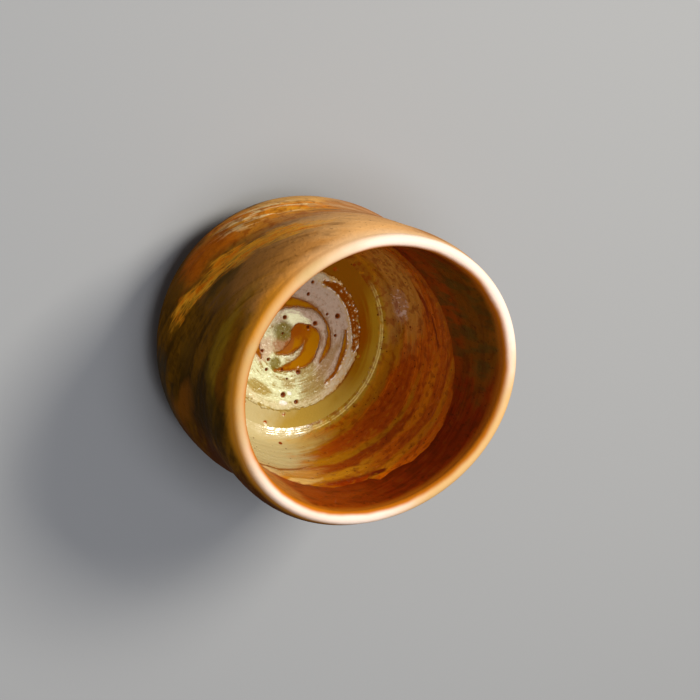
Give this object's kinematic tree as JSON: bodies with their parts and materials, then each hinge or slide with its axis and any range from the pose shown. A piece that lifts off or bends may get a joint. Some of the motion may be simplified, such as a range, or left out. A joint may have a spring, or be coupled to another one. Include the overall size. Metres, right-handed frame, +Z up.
{
  "type": "yunomi teacup",
  "caption": "Squat handleless teacup of thrown stoneware on a foot ring, streaked brown outside, amber glazed inside, with a white slip spiral on its floor.",
  "frame": {"origin": "centre of the foot ring's resting face, on the table", "axes": "+Z up out of the mouth along the cup's axis, -Y towards the picture's camera"},
  "size_m": [0.0872, 0.0872, 0.068],
  "materials": {
    "lip_clay": "satin flashed stoneware",
    "foot_clay": "bare unglazed stoneware",
    "streaked_slip": "satin slip and ash in streaks round the cup",
    "brown_slip": "thin dark brown slip, half gloss",
    "amber_glaze": "glossy mottled amber glaze",
    "olive_glaze": "glassy olive yellow glaze",
    "white_slip": "wrinkled white slip under thin glaze"
  },
  "bodies": {
    "root": {"clay_body": "lip_clay", "foot_ring": "foot_clay", "outside_coat": "streaked_slip", "brown_band": "brown_slip", "liner_glaze": "amber_glaze", "glaze_pool": "olive_glaze", "floor_slip": "white_slip"}
  },
  "joints": []
}
